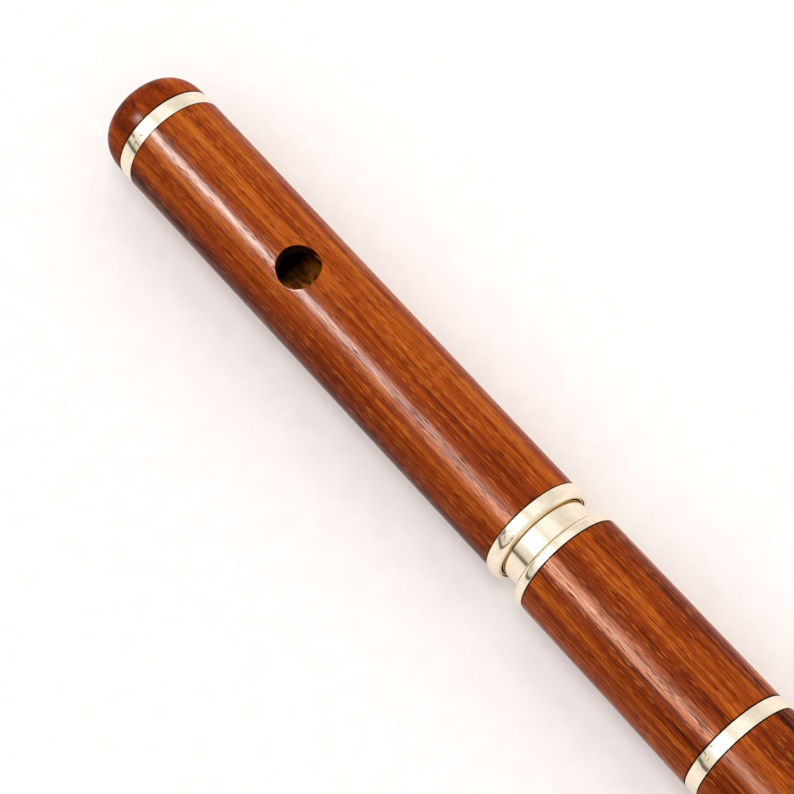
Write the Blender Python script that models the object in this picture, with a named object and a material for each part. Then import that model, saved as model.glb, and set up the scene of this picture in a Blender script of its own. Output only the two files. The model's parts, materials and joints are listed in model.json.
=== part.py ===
"""Keyless wooden concert flute with silver fittings, in five sections.

The sections are the head, the barrel of the tuning slide, the left-hand joint, the right-hand
joint and the foot. The tube lies along X with the crown towards -X, and the embouchure faces +Z.
The origin is the middle of the bounding box's bottom face. Places along the tube are stations,
measured from the tip of the crown.
"""

import math

import bmesh
import bpy
from mathutils import Matrix, Vector

MM = 0.001
SIDES = 28
HOLE_SIDES = 20
ARC_STEPS = 2
WELD = 0.0001 * MM
GAP = 0.3 * MM
HALF_GAP = GAP / 2

# Stations of the seams.
LENGTH = 604.0 * MM
CAP_END = 11.85 * MM
CROWN_RING_END = 16.05 * MM
HEAD_WOOD_END = 154.45 * MM
HEAD_END = 158.3 * MM
SLIDE_PULLED_OUT = 6.05 * MM
BARREL_START = HEAD_END + SLIDE_PULLED_OUT
BARREL_WOOD_START = BARREL_START + 3.25 * MM
BARREL_RING_START = 225.5 * MM
BARREL_END = 229.3 * MM
RIGHT_HAND_START = 383.9 * MM
FOOT_START = 503.0 * MM
FOOT_RING_START = LENGTH - 3.8 * MM
SOCKET_RING_WIDTH = 3.8 * MM

# Outer radii.
CAP_RADIUS = 14.15 * MM
CROWN_RING_RADIUS = 14.3 * MM
HEAD_CROWN_RADIUS = 14.2 * MM
HEAD_SLIDE_RADIUS = 14.05 * MM
HEAD_SLIDE_RING_RADIUS = 14.6 * MM
BARREL_SLIDE_RING_RADIUS = 15.05 * MM
BARREL_TOP_RADIUS = 14.75 * MM
BARREL_BOTTOM_RADIUS = 15.0 * MM
BODY_END_RADIUS = 12.6 * MM
RING_PROUD = 0.15 * MM
FOOT_RING_PROUD = 0.3 * MM
RING_WALL = 0.95 * MM
SOCKET_RING_ROUNDING = 0.6 * MM
SLIDE_RING_ROUNDING = 0.9 * MM

# The flute lies on its widest ring.
AXIS_HEIGHT = BARREL_BOTTOM_RADIUS + RING_PROUD
CUTTER_TOP = 1.3 * BARREL_BOTTOM_RADIUS

# The bore is straight through the head and the barrel, then narrows to the foot.
BORE_RADIUS = 9.5 * MM
BODY_BORE_TOP = 9.4 * MM
BODY_BORE_FOOT = 5.9 * MM

# Tuning slide, from the inside out.
SLIDE_CORE_RADIUS = 11.35 * MM
SLIDE_TUBE_RADIUS = 12.2 * MM
SLIDE_LINER_WALL = 0.35 * MM
SLIDE_INSERTED = 32.0 * MM
SLIDE_SOCKET_DEPTH = 39.4 * MM

# Tenons and the cork round them.
TENON_LIP = 2.0 * MM
CORK_WALL = 1.1 * MM
UPPER_TENON = {"shoulder": BARREL_END, "end": BARREL_END - 25.0 * MM, "radius": 12.2 * MM}
MIDDLE_TENON = {"shoulder": RIGHT_HAND_START, "end": RIGHT_HAND_START + 22.6 * MM, "radius": 10.7 * MM}
FOOT_TENON = {"shoulder": FOOT_START, "end": FOOT_START + 18.6 * MM, "radius": 9.9 * MM}
SOCKET_END_ROOM = 0.5 * MM

# Embouchure and finger holes: station and diameter.
EMBOUCHURE_STATION = 69.9 * MM
EMBOUCHURE_LENGTH = 11.7 * MM
EMBOUCHURE_WIDTH = 11.4 * MM
EMBOUCHURE_UNDERCUT = 1.06
LEFT_HAND_HOLES = ((222.0 * MM, 7.5 * MM), (257.0 * MM, 8.5 * MM), (294.0 * MM, 7.0 * MM))
RIGHT_HAND_HOLES = ((347.0 * MM, 8.2 * MM), (379.0 * MM, 9.2 * MM), (411.0 * MM, 6.6 * MM))

# Stopper and the screw that moves it.
STOPPER_TO_EMBOUCHURE = 19.0 * MM
STOPPER_PLATE_WIDTH = 1.6 * MM
STOPPER_CORK_LENGTH = 21.0 * MM
STOPPER_RADIUS = 9.2 * MM
STOPPER_HOLE_DEPTH = 18.0 * MM
SCREW_RADIUS = 3.0 * MM
SCREW_START = 5.0 * MM
SCREW_END = 41.5 * MM
CAP_SPIGOT_END = 18.0 * MM
CAP_POWER = 2.4
CAP_STEPS = 8

ROSEWOOD = ((0.29, 0.075, 0.022, 1.0), 0.28, 0.0)
SILVER = ((0.88, 0.85, 0.78, 1.0), 0.15, 1.0)
BRASS = ((0.75, 0.55, 0.25, 1.0), 0.25, 1.0)
CORK = ((0.62, 0.43, 0.26, 1.0), 0.85, 0.0)

SMOOTH_LIMIT = math.radians(30)


def material(name, look):
    """A Principled material from (colour, roughness, metallic)."""
    colour, roughness, metallic = look
    made = bpy.data.materials.new(name)
    made.use_nodes = True
    shader = made.node_tree.nodes["Principled BSDF"]
    shader.inputs["Base Color"].default_value = colour
    shader.inputs["Roughness"].default_value = roughness
    shader.inputs["Metallic"].default_value = metallic
    made.diffuse_color = colour
    return made


def section(name, station, parent=None):
    """An empty on the tube's axis, which carries the pieces of one section."""
    made = bpy.data.objects.new(name, None)
    made["station"] = station
    bpy.context.scene.collection.objects.link(made)
    if parent is None:
        made.location = (station - LENGTH / 2, 0, AXIS_HEIGHT)
    else:
        made.parent = parent
        made.location.x = station - parent["station"]
    return made


def turned(name, parent, look, profile):
    """A piece spun round the tube's axis from (station, radius) points.

    The radii reach to the middles of the facets, and one facet faces straight down. A profile
    that starts and ends on the axis is solid, and any other profile is a closed loop.
    """
    start = min(station for station, _ in profile)
    facet_scale = 1 / math.cos(math.pi / SIDES)
    half_turn = Matrix.Rotation(math.pi / SIDES, 4, "X")
    solid = profile[0][1] == 0 and profile[-1][1] == 0
    bm = bmesh.new()
    points = [
        bm.verts.new(half_turn @ Vector((station - start, 0, radius * facet_scale)))
        for station, radius in profile
    ]
    edges = [bm.edges.new(pair) for pair in zip(points, points[1:])]
    if not solid:
        edges.append(bm.edges.new((points[-1], points[0])))
    bmesh.ops.spin(
        bm,
        geom=points + edges,
        cent=(0, 0, 0),
        axis=(1, 0, 0),
        angle=math.tau,
        steps=SIDES,
        use_merge=True,
    )
    bmesh.ops.remove_doubles(bm, verts=bm.verts, dist=WELD)
    bmesh.ops.recalc_face_normals(bm, faces=bm.faces)
    mesh = bpy.data.meshes.new(name)
    bm.to_mesh(mesh)
    bm.free()
    mesh.shade_smooth()
    mesh.set_sharp_from_angle(angle=SMOOTH_LIMIT)
    mesh.materials.append(material(name, look))
    made = bpy.data.objects.new(name, mesh)
    bpy.context.scene.collection.objects.link(made)
    made.parent = parent
    made.location.x = start - parent["station"]
    return made


def drill(piece, station, length, width, undercut=1.0):
    """Cuts one hole down through the upper wall of a piece, wider at the bore by the undercut."""
    bm = bmesh.new()
    bmesh.ops.create_cone(
        bm,
        cap_ends=True,
        segments=HOLE_SIDES,
        radius1=undercut,
        radius2=1,
        depth=CUTTER_TOP,
        matrix=Matrix.Translation((0, 0, CUTTER_TOP / 2))
        @ Matrix.Diagonal((length / 2, width / 2, 1, 1)),
    )
    mesh = bpy.data.meshes.new(f"{piece.name}_cutter")
    bm.to_mesh(mesh)
    bm.free()
    cutter = bpy.data.objects.new(mesh.name, mesh)
    bpy.context.scene.collection.objects.link(cutter)
    cutter.parent = piece.parent
    cutter.location.x = station - piece.parent["station"]
    cutter.hide_render = True
    cutter.display_type = "WIRE"
    cut = piece.modifiers.new("hole", "BOOLEAN")
    cut.operation = "DIFFERENCE"
    cut.solver = "EXACT"
    cut.object = cutter


def rounded_ring(start, end, inner, outer, rounding):
    """The profile of a ring whose two outer edges are quarter rounds."""
    angles = [math.pi / 2 * step / ARC_STEPS for step in range(ARC_STEPS + 1)]
    near = [
        (start + rounding * (1 - math.sin(a)), outer - rounding * (1 - math.cos(a)))
        for a in reversed(angles)
    ]
    far = [
        (end - rounding * (1 - math.sin(a)), outer - rounding * (1 - math.cos(a)))
        for a in angles
    ]
    return [(start, inner)] + near + far + [(end, inner)]


def body_radius(station):
    """Outer radius of the wood below the barrel."""
    share = (station - BARREL_END) / (LENGTH - BARREL_END)
    return BARREL_BOTTOM_RADIUS + share * (BODY_END_RADIUS - BARREL_BOTTOM_RADIUS)


def bore_radius(station):
    """Bore radius of the two hand joints and the foot."""
    top = UPPER_TENON["end"]
    share = (station - top) / (LENGTH - top)
    return BODY_BORE_TOP + share * (BODY_BORE_FOOT - BODY_BORE_TOP)


def tenon_profile(tenon):
    """Outer profile of a tenon from its shoulder to its end, with a channel for the cork."""
    out = math.copysign(1, tenon["end"] - tenon["shoulder"])
    lip_radius = tenon["radius"] - HALF_GAP
    channel_radius = tenon["radius"] - CORK_WALL - GAP
    root = tenon["shoulder"] + out * TENON_LIP
    tip = tenon["end"] - out * TENON_LIP
    return [
        (tenon["shoulder"] - out * HALF_GAP, lip_radius),
        (root, lip_radius),
        (root, channel_radius),
        (tip, channel_radius),
        (tip, lip_radius),
        (tenon["end"], lip_radius),
    ]


def tenon_cork(name, parent, tenon):
    """The cork lapping that lies in a tenon's channel."""
    low, high = sorted((tenon["shoulder"], tenon["end"]))
    start = low + TENON_LIP + GAP
    end = high - TENON_LIP - GAP
    profile = rounded_ring(start, end, tenon["radius"] - CORK_WALL, tenon["radius"], GAP)
    return turned(name, parent, CORK, profile)


def socket_ring(name, parent, start, outer):
    """The silver ring round the open end of a socket."""
    end = start + SOCKET_RING_WIDTH - HALF_GAP
    profile = rounded_ring(start, end, outer - RING_WALL, outer, SOCKET_RING_ROUNDING)
    return turned(name, parent, SILVER, profile)


def crown_section(head):
    """The domed cap with its spigot, and the screw glued into it."""
    crown = section("crown", CAP_END, head)
    face = CAP_END - HALF_GAP
    dome = [
        (
            face * (1 - math.sin(a) ** (2 / CAP_POWER)),
            CAP_RADIUS * math.cos(a) ** (2 / CAP_POWER),
        )
        for a in (math.pi / 2 * step / CAP_STEPS for step in range(CAP_STEPS, -1, -1))
    ]
    dome[0] = (0, 0)
    hole_end = SCREW_START - GAP
    inside = [
        (face, STOPPER_RADIUS),
        (CAP_SPIGOT_END, STOPPER_RADIUS),
        (CAP_SPIGOT_END, SCREW_RADIUS + GAP),
        (hole_end, SCREW_RADIUS + GAP),
        (hole_end, 0),
    ]
    turned("crown_cap", crown, ROSEWOOD, dome + inside)
    tip = SCREW_RADIUS / 3
    turned(
        "crown_screw",
        crown,
        BRASS,
        [
            (SCREW_START, 0),
            (SCREW_START, SCREW_RADIUS),
            (SCREW_END - tip, SCREW_RADIUS),
            (SCREW_END, SCREW_RADIUS - tip),
            (SCREW_END, 0),
        ],
    )


def stopper_section(head):
    """The cork stopper, bored for the screw, and its silver face."""
    face = EMBOUCHURE_STATION - STOPPER_TO_EMBOUCHURE
    cork_end = face - STOPPER_PLATE_WIDTH - GAP
    cork_start = cork_end - STOPPER_CORK_LENGTH
    stopper = section("stopper", cork_start, head)
    hole = SCREW_RADIUS + GAP
    turned(
        "stopper_cork",
        stopper,
        CORK,
        [
            (cork_start + STOPPER_HOLE_DEPTH, 0),
            (cork_start + STOPPER_HOLE_DEPTH, hole),
            (cork_start, hole),
            (cork_start, STOPPER_RADIUS - GAP),
            (cork_start + GAP, STOPPER_RADIUS),
            (cork_end - GAP, STOPPER_RADIUS),
            (cork_end, STOPPER_RADIUS - GAP),
            (cork_end, 0),
        ],
    )
    turned(
        "stopper_plate",
        stopper,
        SILVER,
        [
            (face - STOPPER_PLATE_WIDTH, 0),
            (face - STOPPER_PLATE_WIDTH, STOPPER_RADIUS),
            (face - GAP, STOPPER_RADIUS),
            (face, STOPPER_RADIUS - GAP),
            (face, 0),
        ],
    )


def head_section(barrel):
    """Head wood with its embouchure, crown ring, slide liner and slide ring."""
    head = section("head", HEAD_END, barrel)
    liner_inner = SLIDE_TUBE_RADIUS + GAP
    liner_outer = liner_inner + SLIDE_LINER_WALL
    socket_start = HEAD_END - SLIDE_SOCKET_DEPTH
    crown_seat = CROWN_RING_RADIUS - RING_WALL - GAP
    wood = turned(
        "head_wood",
        head,
        ROSEWOOD,
        [
            (CAP_END + HALF_GAP, BORE_RADIUS),
            (CAP_END + HALF_GAP, crown_seat),
            (CROWN_RING_END + HALF_GAP, crown_seat),
            (CROWN_RING_END + HALF_GAP, HEAD_CROWN_RADIUS),
            (HEAD_WOOD_END - HALF_GAP, HEAD_SLIDE_RADIUS),
            (HEAD_WOOD_END - HALF_GAP, liner_outer + GAP),
            (socket_start, liner_outer + GAP),
            (socket_start, BORE_RADIUS),
        ],
    )
    drill(wood, EMBOUCHURE_STATION, EMBOUCHURE_LENGTH, EMBOUCHURE_WIDTH, EMBOUCHURE_UNDERCUT)
    crown_ring = rounded_ring(
        CAP_END + HALF_GAP,
        CROWN_RING_END - HALF_GAP,
        CROWN_RING_RADIUS - RING_WALL,
        CROWN_RING_RADIUS,
        GAP,
    )
    turned("crown_ring", head, SILVER, crown_ring)
    turned(
        "head_slide_liner",
        head,
        BRASS,
        [
            (socket_start + GAP, liner_inner),
            (socket_start + GAP, liner_outer),
            (HEAD_END, liner_outer),
            (HEAD_END, liner_inner),
        ],
    )
    slide_ring = rounded_ring(
        HEAD_WOOD_END + HALF_GAP,
        HEAD_END,
        liner_outer + GAP,
        HEAD_SLIDE_RING_RADIUS,
        SLIDE_RING_ROUNDING,
    )
    turned("head_slide_ring", head, SILVER, slide_ring)
    crown_section(head)
    stopper_section(head)


def barrel_section(left_hand):
    """Barrel wood with the core of the slide, its silver tube, and a ring at each end."""
    barrel = section("barrel", BARREL_END, left_hand)
    core_end = HEAD_END - SLIDE_INSERTED
    ring_radius = BARREL_BOTTOM_RADIUS + RING_PROUD
    ring_seat = ring_radius - RING_WALL - GAP
    socket_radius = UPPER_TENON["radius"] + GAP
    socket_end = UPPER_TENON["end"] - SOCKET_END_ROOM
    turned(
        "barrel_wood",
        barrel,
        ROSEWOOD,
        [
            (core_end, BORE_RADIUS),
            (core_end, SLIDE_CORE_RADIUS),
            (BARREL_WOOD_START + HALF_GAP, SLIDE_CORE_RADIUS),
            (BARREL_WOOD_START + HALF_GAP, BARREL_TOP_RADIUS),
            (BARREL_RING_START - HALF_GAP, BARREL_BOTTOM_RADIUS),
            (BARREL_RING_START - HALF_GAP, ring_seat),
            (BARREL_END - HALF_GAP, ring_seat),
            (BARREL_END - HALF_GAP, socket_radius),
            (socket_end, socket_radius),
            (socket_end, BORE_RADIUS),
        ],
    )
    turned(
        "barrel_slide_tube",
        barrel,
        SILVER,
        [
            (core_end, SLIDE_CORE_RADIUS + GAP),
            (core_end, SLIDE_TUBE_RADIUS),
            (BARREL_WOOD_START - HALF_GAP, SLIDE_TUBE_RADIUS),
            (BARREL_WOOD_START - HALF_GAP, SLIDE_CORE_RADIUS + GAP),
        ],
    )
    slide_ring = rounded_ring(
        BARREL_START,
        BARREL_WOOD_START - HALF_GAP,
        SLIDE_TUBE_RADIUS + GAP,
        BARREL_SLIDE_RING_RADIUS,
        SLIDE_RING_ROUNDING,
    )
    turned("barrel_slide_ring", barrel, SILVER, slide_ring)
    socket_ring("barrel_socket_ring", barrel, BARREL_RING_START, ring_radius)
    head_section(barrel)


def left_hand_section():
    """Left-hand joint: a tenon with cork at each end, and three finger holes."""
    left_hand = section("left_hand", BARREL_END)
    upper = tenon_profile(UPPER_TENON)
    lower = tenon_profile(MIDDLE_TENON)
    wood = turned(
        "left_hand_wood",
        left_hand,
        ROSEWOOD,
        [(UPPER_TENON["end"], bore_radius(UPPER_TENON["end"]))]
        + upper[:0:-1]
        + [
            (BARREL_END + HALF_GAP, upper[0][1]),
            (BARREL_END + HALF_GAP, body_radius(BARREL_END)),
            (RIGHT_HAND_START - HALF_GAP, body_radius(RIGHT_HAND_START)),
        ]
        + lower
        + [(MIDDLE_TENON["end"], bore_radius(MIDDLE_TENON["end"]))],
    )
    for distance, diameter in LEFT_HAND_HOLES:
        drill(wood, EMBOUCHURE_STATION + distance, diameter, diameter)
    tenon_cork("left_hand_upper_cork", left_hand, UPPER_TENON)
    tenon_cork("left_hand_lower_cork", left_hand, MIDDLE_TENON)
    return left_hand


def socketed_wood(name, parent, start, end, tenon_in, outer_end):
    """Wood with a ringed socket for tenon_in at its start; outer_end finishes the profile."""
    ring_radius = body_radius(start) + RING_PROUD
    ring_seat = ring_radius - RING_WALL - GAP
    ring_end = start + SOCKET_RING_WIDTH
    socket_radius = tenon_in["radius"] + GAP
    socket_end = tenon_in["end"] + SOCKET_END_ROOM
    wood = turned(
        name,
        parent,
        ROSEWOOD,
        [
            (socket_end, bore_radius(socket_end)),
            (socket_end, socket_radius),
            (start + HALF_GAP, socket_radius),
            (start + HALF_GAP, ring_seat),
            (ring_end + HALF_GAP, ring_seat),
            (ring_end + HALF_GAP, body_radius(ring_end)),
        ]
        + outer_end
        + [(end, bore_radius(end))],
    )
    socket_ring(name.replace("wood", "socket_ring"), parent, start + HALF_GAP, ring_radius)
    return wood


def right_hand_section(left_hand):
    """Right-hand joint: a ringed socket, three finger holes and the tenon for the foot."""
    right_hand = section("right_hand", RIGHT_HAND_START, left_hand)
    outer_end = [(FOOT_START - HALF_GAP, body_radius(FOOT_START))] + tenon_profile(FOOT_TENON)
    wood = socketed_wood(
        "right_hand_wood", right_hand, RIGHT_HAND_START, FOOT_TENON["end"], MIDDLE_TENON, outer_end
    )
    for distance, diameter in RIGHT_HAND_HOLES:
        drill(wood, EMBOUCHURE_STATION + distance, diameter, diameter)
    tenon_cork("right_hand_lower_cork", right_hand, FOOT_TENON)
    return right_hand


def foot_section(right_hand):
    """Foot joint: a ringed socket, and a ring round its open end."""
    foot = section("foot", FOOT_START, right_hand)
    ring_radius = body_radius(LENGTH) + FOOT_RING_PROUD
    ring_seat = ring_radius - RING_WALL - GAP
    outer_end = [
        (FOOT_RING_START - HALF_GAP, body_radius(FOOT_RING_START)),
        (FOOT_RING_START - HALF_GAP, ring_seat),
        (LENGTH, ring_seat),
    ]
    socketed_wood("foot_wood", foot, FOOT_START, LENGTH, FOOT_TENON, outer_end)
    end_ring = rounded_ring(
        FOOT_RING_START + HALF_GAP,
        LENGTH,
        ring_radius - RING_WALL,
        ring_radius,
        SOCKET_RING_ROUNDING,
    )
    turned("foot_end_ring", foot, SILVER, end_ring)


def main():
    for obj in list(bpy.data.objects):
        bpy.data.objects.remove(obj, do_unlink=True)
    left_hand = left_hand_section()
    barrel_section(left_hand)
    foot_section(right_hand_section(left_hand))


main()
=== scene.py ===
"""Looks of the concert flute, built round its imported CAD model.

Every wood, silver, brass and cork piece is turned again as a smooth mesh on the CAD's own places,
and gets a procedural material. Lengths are in metres, and stations run along +X.
"""

import json
import math

import bmesh
import bpy
from mathutils import Matrix, Vector

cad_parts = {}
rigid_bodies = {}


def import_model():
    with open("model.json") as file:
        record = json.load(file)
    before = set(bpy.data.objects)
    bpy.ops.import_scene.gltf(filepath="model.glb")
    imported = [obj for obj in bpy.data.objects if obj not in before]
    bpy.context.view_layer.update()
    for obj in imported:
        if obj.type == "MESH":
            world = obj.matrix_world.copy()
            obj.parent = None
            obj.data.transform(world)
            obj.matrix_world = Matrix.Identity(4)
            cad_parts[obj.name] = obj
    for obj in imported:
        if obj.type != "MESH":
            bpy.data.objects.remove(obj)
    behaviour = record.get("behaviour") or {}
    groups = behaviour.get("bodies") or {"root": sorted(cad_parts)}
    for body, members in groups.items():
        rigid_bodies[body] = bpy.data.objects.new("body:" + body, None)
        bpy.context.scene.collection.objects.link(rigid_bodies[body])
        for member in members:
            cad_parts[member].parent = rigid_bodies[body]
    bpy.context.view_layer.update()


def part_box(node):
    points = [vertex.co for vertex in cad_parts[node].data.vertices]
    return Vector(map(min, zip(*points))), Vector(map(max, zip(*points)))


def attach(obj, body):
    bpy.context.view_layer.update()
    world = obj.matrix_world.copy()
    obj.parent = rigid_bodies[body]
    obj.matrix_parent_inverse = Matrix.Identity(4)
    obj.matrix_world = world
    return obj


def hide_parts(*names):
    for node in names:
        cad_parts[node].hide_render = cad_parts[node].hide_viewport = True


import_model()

MM = 0.001

# How finely the pieces are turned. HOLD places a row beside each rounded corner, as a share of its
# size, to keep the face next to it flat.
SIDES = 160
FILLET_STEPS = 5
HOLD = 0.4
SMOOTH_LIMIT = math.radians(32)

# Each hole has a patch of the tube's grid to itself: loops on the surface, which crowd towards the
# hole, loops round its edge, and loops down its wall. The patch is larger than the hole by these
# margins, and PATCH_R is the radius it is counted at.
PATCH_LOOPS = 7
EDGE_STEPS = 4
WALL_LOOPS = 8
MARGIN_AROUND = 2.0 * MM
MARGIN_ALONG = 2.2 * MM
PATCH_R = 12.9 * MM
CROWDING = 1.3

# CLEAR is half the gap that the CAD leaves between neighbours, and the play in a socket. SEAM is how
# far most visible pieces stand back from the middle of that gap.
CLEAR = 0.15 * MM
SEAM = 0.10 * MM


# --- places, from the CAD ---------------------------------------------------------------------


def start_of(node):
    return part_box(node)[0].x


def end_of(node):
    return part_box(node)[1].x


def radius_of(node):
    low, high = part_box(node)
    return (high.z - low.z) / 2


AXIS_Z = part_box("barrel_socket_ring")[0].z + radius_of("barrel_socket_ring")
TIP = start_of("crown_cap")
FOOT_END = end_of("foot_wood")
CROWN_SEAM = start_of("crown_ring") - CLEAR
HEAD_SHOULDER = end_of("crown_ring") + CLEAR
HEAD_RING_SEAM = start_of("head_slide_ring") - CLEAR
HEAD_END = end_of("head_slide_ring")
BARREL_START = start_of("barrel_slide_ring")
BARREL_SEAM = end_of("barrel_slide_ring") + CLEAR
BARREL_RING_SEAM = start_of("barrel_socket_ring")
BODY_SEAM = end_of("barrel_socket_ring") + CLEAR
RIGHT_SEAM = start_of("right_hand_socket_ring") - CLEAR
FOOT_SEAM = start_of("foot_socket_ring") - CLEAR
FOOT_RING_SEAM = start_of("foot_end_ring") - CLEAR
EMBOUCHURE_X = TIP + 69.9 * MM

# Radii of the visible surfaces, and the radii, walls and fits of what lies inside.
HEAD_CROWN_R = 14.28 * MM
HEAD_SLIDE_R = 14.05 * MM
CAP_R = 14.22 * MM
BARREL_TOP_R = 14.75 * MM
BODY_TOP_R = radius_of("barrel_wood")
BODY_END_R = 12.6 * MM
BORE_R = 9.5 * MM
BODY_BORE_TOP_R = 9.4 * MM
BODY_BORE_FOOT_R = 5.9 * MM
SLIDE_TUBE_R = radius_of("barrel_slide_tube")
SLIDE_TUBE_WALL = 0.55 * MM
LINER_R = radius_of("head_slide_liner")
LINER_WALL = 0.35 * MM
RING_WALL = 0.95 * MM
RING_PROUD = 0.15 * MM
RING_SEAT = RING_WALL + 0.1 * MM
LOWER_RING_WIDTH = 3.8 * MM
BAND_DROP = 0.22 * MM
SOCKET_GAP = 0.5 * MM
CORK_WALL = 1.1 * MM
TENON_LIP = 2.0 * MM
STOPPER_R = radius_of("stopper_plate")
STOPPER_SOCKET = 18.0 * MM
SCREW_R = radius_of("crown_screw")
SCREW_PITCH = 1.0 * MM
THREAD_DEPTH = 0.45 * MM


def body_radius(x):
    """Outer radius of the wood below the barrel."""
    share = (x - BODY_SEAM) / (FOOT_END - BODY_SEAM)
    return BODY_TOP_R + share * (BODY_END_R - BODY_TOP_R)


def bore_radius(x):
    """Bore radius of the hand joints and the foot."""
    top = start_of("left_hand_wood")
    share = (x - top) / (FOOT_END - top)
    return BODY_BORE_TOP_R + share * (BODY_BORE_FOOT_R - BODY_BORE_TOP_R)


# --- turned meshes ----------------------------------------------------------------------------


def softened(corners, closed):
    """Profile points from (x, r) or (x, r, rounding) corners, with an arc at each rounded one."""
    points = []
    count = len(corners)
    for i, corner in enumerate(corners):
        here = Vector(corner[:2])
        rounding = corner[2] if len(corner) > 2 else 0
        if not rounding or (not closed and i in (0, count - 1)):
            points.append(here)
            continue
        before = Vector(corners[i - 1][:2]) - here
        after = Vector(corners[(i + 1) % count][:2]) - here
        cut_before = min(rounding, 0.49 * before.length)
        cut_after = min(rounding, 0.49 * after.length)
        a = here + before.normalized() * cut_before
        b = here + after.normalized() * cut_after
        if before.length > (2 + HOLD) * cut_before:
            points.append(a + before.normalized() * cut_before * HOLD)
        for step in range(FILLET_STEPS + 1):
            u = step / FILLET_STEPS
            points.append((1 - u) ** 2 * a + 2 * u * (1 - u) * here + u**2 * b)
        if after.length > (2 + HOLD) * cut_after:
            points.append(b + after.normalized() * cut_after * HOLD)
    return [(p.x, p.y, None) for p in points]


def with_hole_rows(rows, number, hole):
    """Rows of points through one hole's patch, on the outer surface and on the bore."""
    low = hole["x"] - hole["reach"]
    made = []
    for i, (x, r, mark) in enumerate(rows):
        made.append((x, r, mark))
        nx, nr, _ = rows[(i + 1) % len(rows)]
        if not (min(x, nx) < low and max(x, nx) > low + 2 * hole["reach"]):
            continue
        outer = nx > x
        steps = range(hole["rows"] + 1)
        for k in steps if outer else reversed(steps):
            at = low + 2 * hole["reach"] * k / hole["rows"]
            made.append((at, r + (nr - r) * (at - x) / (nx - x), (number, outer, k)))
    return made


def hole_patch(bm, grid, rows, number, hole, outer):
    """Loops of vertices from the grid's gap to the hole's edge on one surface, outermost first."""
    found = {
        mark[2]: i for i, (_, _, mark) in enumerate(rows) if mark and mark[:2] == (number, outer)
    }
    half = hole["columns"]
    last = hole["rows"]
    rim = [(0, j) for j in range(-half, half)]
    rim += [(k, half) for k in range(last)]
    rim += [(last, j) for j in range(half, -half, -1)]
    rim += [(k, -half) for k in range(last, 0, -1)]
    first_x, first_r, _ = rows[found[0]]
    last_x, last_r, _ = rows[found[last]]

    def height(x, y):
        r = first_r + (last_r - first_r) * (x - first_x) / (last_x - first_x)
        return math.sqrt(r * r - y * y)

    spread = 1.0 if outer else hole["undercut"]
    loops = [[grid[found[k]][j % SIDES] for k, j in rim]]
    reach_y = abs(loops[0][half * 2].co.y)
    angles = [
        math.atan2(v.co.y / reach_y, (v.co.x - hole["x"]) / hole["reach"]) for v in loops[0]
    ]
    edge = hole["edge"]
    for step in range(1, PATCH_LOOPS + 1):
        share = 1 - (1 - step / PATCH_LOOPS) ** CROWDING
        loop = []
        for v, a in zip(loops[0], angles):
            x = hole["x"] + (hole["a"] * spread + edge) * math.cos(a)
            y = (hole["b"] * spread + edge) * math.sin(a)
            x = v.co.x + (x - v.co.x) * share
            y = v.co.y + (y - v.co.y) * share
            loop.append(bm.verts.new((x, y, height(x, y))))
        loops.append(loop)
    sink = -1 if outer else 1
    for step in range(1, EDGE_STEPS + 1):
        turn = math.pi / 2 * step / EDGE_STEPS
        loop = []
        for a in angles:
            flare = edge * (1 - math.sin(turn))
            x = hole["x"] + (hole["a"] * spread + flare) * math.cos(a)
            y = (hole["b"] * spread + flare) * math.sin(a)
            drop = sink * edge * (1 - math.cos(turn))
            loop.append(bm.verts.new((x, y, height(x, y) + drop)))
        loops.append(loop)
    return loops


def join_loops(bm, loops):
    """Faces between each loop and the next."""
    for one, two in zip(loops, loops[1:]):
        for i in range(len(one)):
            j = (i + 1) % len(one)
            bm.faces.new((one[i], one[j], two[j], two[i]))


def drill(bm, grid, rows, number, hole):
    """Fills the two gaps left for a hole with its rounded edges and its wall."""
    outside = hole_patch(bm, grid, rows, number, hole, True)
    inside = hole_patch(bm, grid, rows, number, hole, False)
    top, bottom = outside[-1], inside[-1]
    wall = [top]
    for step in range(1, WALL_LOOPS):
        share = step / WALL_LOOPS
        wall.append([bm.verts.new(t.co.lerp(b.co, share)) for t, b in zip(top, bottom)])
    wall.append(bottom)
    join_loops(bm, outside)
    join_loops(bm, inside)
    join_loops(bm, wall)


def in_patch(rows, i, j, holes):
    """Whether the grid's cell from row i and column j lies in a hole's gap."""
    mark = rows[i][2]
    following = rows[(i + 1) % len(rows)][2]
    if not mark or not following or mark[:2] != following[:2]:
        return False
    half = holes[mark[0]]["columns"]
    return j < half or j >= SIDES - half


def is_inside_patch(row, j, holes):
    """Whether a grid vertex would fall strictly inside a hole's gap."""
    mark = row[2]
    if not mark:
        return False
    hole = holes[mark[0]]
    near = min(j, SIDES - j) < hole["columns"]
    return near and 0 < mark[2] < hole["rows"]


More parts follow.
